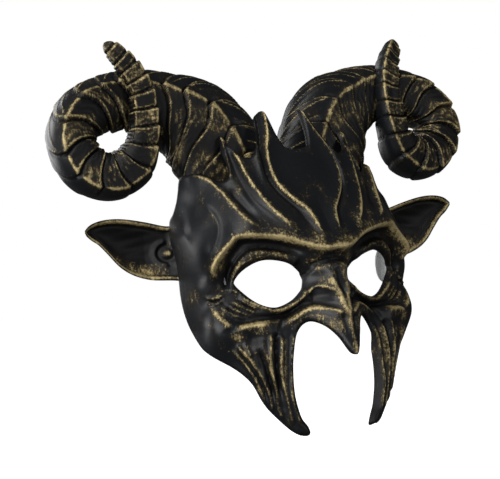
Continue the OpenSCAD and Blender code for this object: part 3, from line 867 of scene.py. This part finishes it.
HORN_WALL = 2.2
LEAN = math.radians(8)
COIL = np.array([98.7, 40.0, 81.0])
ROOT = face_point(np.array([52.0]), np.array([70.0]), np.array([-14.6]))[0]
ROOT_STATIONS = [(-7.3, -12, 4, 30, 11), (9.4, 17.2, 10.5, 26.4, 15.5)]
COIL_STATIONS = [
    (-37.6, 18.2, 17.5, 20, 16), (-20, 23, 17, 17, 14), (-3, 21.1, 12.4, 15.7, 14.4),
    (12, 15.4, 7, 14.2, 14), (20.8, 2.2, 2.8, 12.5, 13.2), (15.4, -12.6, 1.4, 12.9, 13),
    (1.8, -18.8, 1.4, 12.7, 12.2), (-11, -13, 1.0, 11.8, 11.6), (-17.4, -0.4, 0.2, 8.5, 9.2),
    (-19.2, 13.6, 0.6, 7.5, 7.6), (-18.8, 26, 1.2, 6.9, 6.2), (-15.2, 37, 3, 6.5, 5.7),
    (-9.6, 46, 5, 5.3, 4.5), (-3.8, 53.4, 7.2, 2.8, 2.6),
]


def horn_rows():
    """Centre, half width and half depth of the horn at even steps of its length."""
    stations = []
    for centre, group in ((ROOT, ROOT_STATIONS), (COIL, COIL_STATIONS)):
        for out, up, back, wide, deep in group:
            x = centre[0] + out * math.cos(LEAN)
            y = centre[1] + out * math.sin(LEAN) + back
            stations.append((x, y, centre[2] + up, wide, deep))
    rows = flowing(stations, 40)
    steps = np.linalg.norm(np.diff(rows[:, :3], axis=0), axis=1)
    lengths = np.concatenate([[0], np.cumsum(steps)])
    return rows, lengths


HORN_ROWS, HORN_LENGTHS = horn_rows()
HORN_LENGTH = HORN_LENGTHS[-1]


def horn_frame(s):
    """Centre, sideways and forward directions and half sizes at distances s along the horn."""
    row = np.stack([np.interp(s, HORN_LENGTHS, HORN_ROWS[:, k]) for k in range(5)], -1)
    ahead = np.stack([np.interp(s + 1.5, HORN_LENGTHS, HORN_ROWS[:, k]) for k in range(3)], -1)
    behind = np.stack([np.interp(s - 1.5, HORN_LENGTHS, HORN_ROWS[:, k]) for k in range(3)], -1)
    way = ahead - behind
    way /= np.linalg.norm(way, axis=1)[:, None]
    front = np.array([0, -1.0, 0]) + way[:, 1:2] * way
    front /= np.linalg.norm(front, axis=1)[:, None]
    side = np.cross(front, way)
    return row, side, front


def squarish(a):
    return 0.97 * (np.abs(np.cos(a)) ** 2.6 + np.abs(np.sin(a)) ** 2.6) ** (-1 / 2.6)


def plate_edges():
    """Distances along the horn at which its plates end, closer together towards the tip."""
    edges = [-9.0]
    draw = np.random.default_rng(5)
    while edges[-1] < HORN_LENGTH:
        s = edges[-1]
        gap = np.interp(s, [0, 60, 110, 190, 235, 290], [15, 14, 10.5, 9.5, 6.6, 5.0])
        edges.append(s + gap * draw.uniform(0.86, 1.14))
    return np.array(edges)


PLATE_EDGES = plate_edges()
# The crest winds round the horn: distance along it, and degrees round it there
CREST_AT = [0, 60, 110, 140, 170, 200, 300]
CREST_TURN = [78, 66, 52, 54, 66, 56, 42]


def horn_relief(s, a, radius):
    """How far the horn's surface stands proud, and its gilt, at distance s and angle a."""
    crest = np.radians(np.interp(s, CREST_AT, CREST_TURN))
    second = np.radians(np.interp(s, [0, 120, 200, 300], [190, 165, 140, 138]))
    wrap = (a + math.pi / 2) % (2 * math.pi) - math.pi / 2
    off = (wrap - crest) * radius
    off2 = (wrap - second) * radius
    on_front = (wrap > crest) & (wrap < second + 0.5)
    sweep = np.interp(s, [0, 70, 120, 200, 300], [0.62, 0.6, 0.32, 0.12, 0.05])
    swing = np.interp(s, [0, 90, 150, 300], [1.6, 1.6, 0.8, 0.2])
    moved = s + sweep * np.abs(off) + swing * np.sin(off / 4.5)
    plate = clamp(np.searchsorted(PLATE_EDGES, moved), 1, len(PLATE_EDGES) - 1)
    upper = PLATE_EDGES[plate]
    lower = PLATE_EDGES[plate - 1]
    gap = upper - lower
    after = moved - lower
    before = upper - moved
    share = after / gap
    size = np.interp(s, [0, 60, 200, 260, 300], [1.15, 1.2, 1.0, 0.62, 0.3])
    faces_front = 0.45 + 0.55 * eased((wrap - crest + 0.35) / 0.4) * (wrap < second + 1.0)
    height = size * faces_front * (1.25 * share ** 1.4 - 0.35)
    groove = np.exp(-((after / 0.95) ** 1.6)) + 0.6 * np.exp(-((before / 0.45) ** 2))
    height = height - size * faces_front * 1.35 * groove
    ridge = np.exp(-((np.abs(off) / 2.2) ** 1.3))
    height = height + size * 1.35 * ridge * (1 - 0.5 * groove)
    strip = eased((s - 165) / 40)
    ridge2 = np.exp(-((np.abs(off2) / 1.5) ** 1.4))
    height = height + size * (0.3 + 0.8 * strip) * ridge2 * (1 - 0.5 * groove)
    front_width = (second - crest) * radius
    valley = bell(off - 0.5 * front_width, 0.34 * front_width)
    height = height - size * 0.9 * valley * on_front * (0.35 + 0.65 * strip)
    # Fine veins: long ones over the top of the arch, short ones on the plates and the coil
    over = eased((crest - 0.06 - wrap) / 0.2) * eased((150 - s) / 40)
    over = over * eased((30 - np.abs(off)) / 9)
    long_run = (s + 1.15 * np.abs(off) + 1.6 * np.sin(off * 0.16)) / 4.6
    vein = np.exp(-(((long_run % 1) - 0.5) * 4.6 / 0.55) ** 2)
    keep = np.sin(np.floor(long_run) * 2.4 + 1) * 0.5 + 0.5
    height = height + 0.45 * vein * over * keep
    inner_side = eased((wrap - second + 0.15) / 0.4) * eased((s - 128) / 30) * eased((252 - s) / 30)
    rib_run = (s + 0.2 * np.sin(wrap * 5)) / 2.6
    rib = 0.5 + 0.5 * np.cos(2 * math.pi * rib_run)
    height = height - 0.5 * (1 - rib) * inner_side * size
    across_run = (moved + 0.9 * np.sin(off * 0.7 + plate * 2.1)) / (0.31 * gap)
    scratch = np.exp(-(((across_run % 1) - 0.5) * 3.2) ** 2) * on_front * (1 - over)
    height = height + 0.18 * scratch * size
    edge_gold = np.exp(-((before - 1.0) / 0.72) ** 2)
    start_gold = np.exp(-((after - 1.7) / 0.6) ** 2) * (0.25 + 0.45 * strip)
    front_gold = 0.3 + 0.45 * over + 0.62 * (wrap > crest - 0.1) * (wrap < second + 0.8)
    swell = 0.88 + 0.12 * np.sin(s * 0.9 + 2 * np.sin(s * 0.23))
    gilt = 1.1 * swell * ridge ** 2.4 * (1 - 0.8 * np.exp(-((after / 0.8) ** 2)))
    gilt = np.maximum(gilt, 0.4 * ridge)
    gilt = np.maximum(gilt, 1.0 * edge_gold * front_gold * swell)
    gilt = np.maximum(gilt, start_gold * on_front * swell)
    gilt = np.maximum(gilt, (0.3 + 0.4 * strip) * ridge2 ** 1.8)
    gilt = np.maximum(gilt, 0.95 * vein * over * keep)
    gilt = np.maximum(gilt, 0.36 * rib ** 3 * inner_side)
    patch = bell(np.sin(s * 0.21 + 1.7 * np.sin(off * 0.19 + s * 0.05)) - 0.6, 0.75)
    gilt = np.maximum(gilt, (0.04 + 0.26 * patch + 0.3 * scratch * patch) * on_front)
    gilt = np.maximum(gilt, 0.16 * over)
    gilt = gilt * (1 - 0.75 * clamp(groove, 0, 1))
    # Painted shade: the grooves between plates, the front faces and the valley on them and the
    # hollows between the inner ribs are darkened, and it darkens towards the tip
    painted_shade = clamp(groove * (0.3 + 0.9 * faces_front) + 0.6 * on_front + 0.2 * valley * on_front, 0, 1)
    painted_shade = np.maximum(painted_shade, 0.75 * (1 - rib) * inner_side)
    painted_shade = np.maximum(painted_shade, 0.55 * eased((s - 258) / 14) * (1 - rib * 0.3))
    return height, gilt, painted_shade


def make_horn(side_name, turned, pitch=0.68, around=150):
    rows = int(HORN_LENGTH / pitch)
    inner_rows = 22
    piece = grid_sheet("horn_" + side_name, around, rows + inner_rows)
    co = read(piece)
    row = co[:, 1]
    a = co[:, 0] / around * 2 * math.pi
    inner = row < inner_rows
    s = np.where(inner, (inner_rows - row) * 1.3, (row - inner_rows) * HORN_LENGTH / rows)
    base, side, front = horn_frame(s)
    half = base[:, 3:5] - np.where(inner, HORN_WALL, 0)[:, None]
    reach = squarish(a)
    radius = 0.5 * (base[:, 3] + base[:, 4]) * reach
    height, gilt, painted_shade = horn_relief(s, a, radius)
    tip = eased((HORN_LENGTH - s) / 5.0)
    height = height * (1 - inner) * (0.2 + 0.8 * tip)
    height = height * eased((s + 1) / 4)
    round_tip = np.sqrt(clamp(1 - (clamp((s - (HORN_LENGTH - 4.5)) / 4.5, 0, 1)) ** 2, 0.0004, 1))
    round_tip = np.where(inner, 1, round_tip)
    across = side * (reach * np.cos(a) * half[:, 0])[:, None]
    across += front * (reach * np.sin(a) * half[:, 1])[:, None]
    outwards = across / np.linalg.norm(across, axis=1)[:, None]
    placed = base[:, :3] + (across + outwards * height[:, None]) * round_tip[:, None]
    placed[:, 0] *= turned
    write(piece, placed * MM)
    carry(piece, "gilt", np.where(inner, 0, gilt * (0.4 + 0.6 * tip)))
    # Painted shade: the inside wall of the hollow horn is painted half dark
    carry(piece, "painted_shade", np.where(inner, 0.5, painted_shade))
    close_up(piece, 0.00003)
    piece.data.materials.append(HORN)
    smooth(piece, 60)
    return finished(piece, "mask", "horn_" + side_name)


# ---------------------------------------------------------------- Ears

EAR_LENGTH = 51.0
EAR_WALL = 2.6
EAR_BOWL = 7.0
EAR_LINE = flowing(
    [(0, 4, 34), (0.1, 4.8, 34.2), (0.3, 6, 36.8), (0.48, 9, 38.8), (0.62, 13.6, 39.8),
     (0.74, 20.6, 39.9), (0.84, 26.2, 39.3), (0.93, 29.6, 37.8), (1, 33.4, 35)], 12)


def rear_edge(z):
    return face_point(97 + 3 * clamp((z - 6) / 29, 0, 1), z, -1.2)


def make_ear(side_name, turned, steps=110, span=70):
    around = 2 * span
    piece = grid_sheet("ear_" + side_name, around, steps)
    co = read(piece)
    s = co[:, 1] / steps
    k = co[:, 0]
    back = k > span
    t = np.where(back, around - k, k) / span
    t = 0.5 - 0.5 * np.cos(math.pi * t)
    low = np.interp(s, EAR_LINE[:, 0], EAR_LINE[:, 1])
    high = np.interp(s, EAR_LINE[:, 0], EAR_LINE[:, 2])
    root = rear_edge(5 + 30 * t)
    middle = rear_edge(np.array([20.0]))[0]
    out = clamp(s / 0.3, 0, 1)
    x = middle[0] - 1.2 + s * EAR_LENGTH
    z = low + (high - low) * t
    bowl = EAR_BOWL * np.sin(math.pi * t) ** 0.8 * np.sin(math.pi * clamp(0.12 + s * 0.8, 0, 1))
    y = (1 - out) * (root[:, 1] + 1) + out * (middle[1] + 5) + bowl
    rim = np.minimum(t, 1 - t) * (high - low)
    roll = np.exp(-((rim - 1.5) / 1.1) ** 2)
    lip = np.exp(-((rim - 3.4) / 1.0) ** 2)
    from_lobe = np.hypot(s * EAR_LENGTH - 4.6, z - 19.5)
    curl = np.exp(-((from_lobe - 6.2) / 1.3) ** 2) * eased((s * EAR_LENGTH - 3.4) / 3)
    hollow = np.exp(-((from_lobe - 3.8) / 1.1) ** 2)
    lobe = bell(from_lobe, 2.4)
    join = 2.6 * clamp(1 - s / 0.1, 0, 1) ** 2
    wave = 0.22 * np.sin(z * 1.1 + s * 9) * bell(s - 0.4, 0.2)
    front_lift = roll - 0.8 * lip + 2.0 * lobe + 1.3 * curl - 0.9 * hollow + join
    front_lift = front_lift + wave * (rim > 4)
    thick = EAR_WALL * np.sqrt(clamp(rim / 1.6, 0, 1))
    y = np.where(back, y + thick, y - front_lift * clamp(rim, 0, 1))
    tip = eased((1 - s) / 0.05)
    placed = np.stack([x, (middle[1] + 5) * (1 - tip) + y * tip, z], -1)
    placed[:, 0] *= turned
    write(piece, placed * MM)
    lower_half = eased((0.5 - t) / 0.3)
    gilt = np.where(back, 0.18, 0.95 * roll)
    scumble = lower_half * bell(rim - 4.5, 5.5) * bell(s - 0.32, 0.3)
    gilt = np.maximum(gilt, 0.62 * scumble * ~back)
    gilt = np.maximum(gilt, 0.95 * bell(from_lobe, 1.7) * ~back)
    gilt = np.maximum(gilt, 0.3 * bell(s - 0.03, 0.05) * ~back)
    # Painted shade: the hollow by the lobe, the groove inside the rim and the bowl of the ear are
    # darkened
    painted_shade = clamp(0.8 * hollow + 0.9 * bell(rim - 4.5, 2.2) + 0.95 * bowl / EAR_BOWL, 0, 1)
    painted_shade = np.where(back, 0, painted_shade)
    carry(piece, "gilt", gilt)
    carry(piece, "painted_shade", painted_shade)
    close_up(piece, 0.00002)
    piece.data.materials.append(FACE)
    smooth(piece, 60)
    return finished(piece, "mask", "ear_" + side_name)


# ---------------------------------------------------------------- Foam pads


def make_pad(name, low, high, square, depth, turned=1, raised=None):
    """A soft pad bedded on the inside of the face between two corners of the pattern.

    raised is the centre, the half sizes and the height of a paler cushion that stands on it.
    """
    deselect_all()
    bpy.ops.mesh.primitive_cube_add(size=2)
    piece = bpy.context.object
    piece.name = name
    piece.data.name = name
    in_edit(piece, lambda: bpy.ops.mesh.subdivide(number_cuts=40))
    u, v, w = read(piece).T
    big = np.maximum(np.abs(u), np.abs(v))
    far = (np.abs(u) ** square + np.abs(v) ** square) ** (1 / square)
    shrink = np.where(far > 1e-6, big / np.maximum(far, 1e-6), 1)
    p = (low[0] + high[0]) / 2 + u * shrink * (high[0] - low[0]) / 2
    z = (low[1] + high[1]) / 2 + v * shrink * (high[1] - low[1]) / 2
    crown = np.sqrt(clamp(1 - big ** 6, 0, 1))
    seat = 0
    for dp in (-4, 0, 4):
        for dz in (-4, 0, 4):
            seat = seat + relief(p + dp, z + dz)[0] / 9
    seat = seat - WALL - 0.15 - 4.0 * eased((p - 92) / 12) * (p > 60)
    inward = 0.5 - 0.5 * w
    h = seat - inward * depth * (0.3 + 0.7 * crown)
    pale = np.ones(len(p))
    if raised:
        centre, size, rise = raised
        oval = np.hypot((p - centre[0]) / size[0], (z - centre[1]) / size[1])
        dome = np.sqrt(clamp(1 - oval ** 4, 0, 1))
        h = h - inward * rise * dome
        pale = inward * (oval < 1.02)
    placed = face_point(p, z, h)
    placed[:, 0] *= turned
    write(piece, placed * MM)
    carry(piece, "pale", pale)
    close_up(piece, 0.000001)
    piece.data.materials.append(FOAM)
    smooth(piece, 60)
    finished(piece, "mask", name)
    return piece


# ---------------------------------------------------------------- The pieces

make_face()
for word, way in SIDES:
    make_horn(word, way)
    make_ear(word, way)
    make_pad(
        "temple_pad_" + word, (63, -13), (107, 15), 2.1, 2.0, way, ((96, 2), (11.5, 11.5), 3.4)
    )
make_pad("brow_pad", (-29, 32.5), (29, 45.5), 4.0, 5.0)

for node_name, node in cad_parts.items():
    finish = None
    if node_name.startswith(("horn_spigot", "strap_post")):
        finish = FITTING
    if node_name.startswith(("strap_tab", "post_cap")):
        finish = TAB
    if node_name.startswith("horn_screws"):
        finish = STEEL
    if finish:
        node.data.materials.clear()
        node.data.materials.append(finish)


# ---------------------------------------------------------------- Floor, light and camera

AMBIENT = 0.052
# Soft lamps: name, place, width and power
LAMPS = [
    ("key", (-1.4, -0.35, 0.12), 0.8, 10.0),
    ("top", (-0.55, -0.5, 1.15), 0.6, 5.5),
    ("low", (-1.0, -0.85, -0.02), 0.5, 3.6),
    ("back", (-0.45, 1.1, 0.3), 0.9, 9.0),
    ("front", (0.6, -1.15, 0.15), 0.5, 1.8),
]


def studio():
    deselect_all()
    bpy.ops.mesh.primitive_plane_add(size=6, location=(0, 0, 0))
    floor = bpy.context.object
    floor.name = "studio_floor"
    co = read(floor)
    co[:, 2] = cad_low[2] - 0.06
    write(floor, co)
    f = Finish(bpy.data.materials.new("pale_floor"))
    grain = f.noise(f.place(), 3.0, 2.0, 0.5)
    floor.data.materials.append(
        f.surface(
            {
                "Base Color": f.blend(grain, rgb(236, 236, 236), rgb(244, 244, 244)),
                "Roughness": 0.8 + grain * 0.1,
                "Emission Color": (1, 1, 1, 1),
                "Emission Strength": 1.0,
            }
        )
    )
    floor.visible_diffuse = False
    floor.visible_glossy = False
    world = bpy.data.worlds.new("studio")
    w = Finish(world)
    white = (1, 1, 1, 1)
    lit = w.node("ShaderNodeBackground", None, {"Color": white, "Strength": AMBIENT})
    seen = w.node("ShaderNodeBackground", None, {"Color": white, "Strength": 1.0})
    direct = w.node("ShaderNodeLightPath")["Is Camera Ray"]
    both = w.node(
        "ShaderNodeMixShader", None, {0: direct, 1: lit["Background"], 2: seen["Background"]}
    )
    w.node("ShaderNodeOutputWorld", None, {"Surface": both["Shader"]})
    bpy.context.scene.world = world
    centre = Vector((0, 0.01, 0.03))
    for name, place, size, power in LAMPS:
        light = bpy.data.lights.new(name, "AREA")
        light.shape = "SQUARE"
        light.size = size
        light.energy = power
        lamp = bpy.data.objects.new(name, light)
        lamp.location = place
        lamp.visible_camera = False
        lamp.rotation_euler = (Vector(place) - centre).to_track_quat("Z", "Y").to_euler()
        bpy.context.scene.collection.objects.link(lamp)


def camera():
    """Level, 30 degrees to the mask's right, and tipped 5 degrees round the line of sight."""
    azimuth = math.radians(-29.673)
    roll = math.radians(-5.012)
    distance = 0.753478
    aim_x = 0.038929
    aim_y = -0.019683
    back = Vector((math.sin(azimuth), -math.cos(azimuth), 0))
    right = Vector((math.cos(azimuth), math.sin(azimuth), 0))
    up = Vector((0, 0, 1))
    across = right * math.cos(roll) + up * math.sin(roll)
    upward = up * math.cos(roll) - right * math.sin(roll)
    lens = bpy.data.cameras.new("camera")
    lens.lens = 100.8
    lens.sensor_width = 36
    lens.clip_start = 0.01
    eye = bpy.data.objects.new("camera", lens)
    spot = back * distance - across * aim_x - upward * aim_y
    eye.matrix_world = Matrix(
        (
            (across.x, upward.x, back.x, spot.x),
            (across.y, upward.y, back.y, spot.y),
            (across.z, upward.z, back.z, spot.z),
            (0, 0, 0, 1),
        )
    )
    bpy.context.scene.collection.objects.link(eye)
    bpy.context.scene.camera = eye


studio()
camera()
bpy.context.scene.view_settings.view_transform = "Standard"

deselect_all()
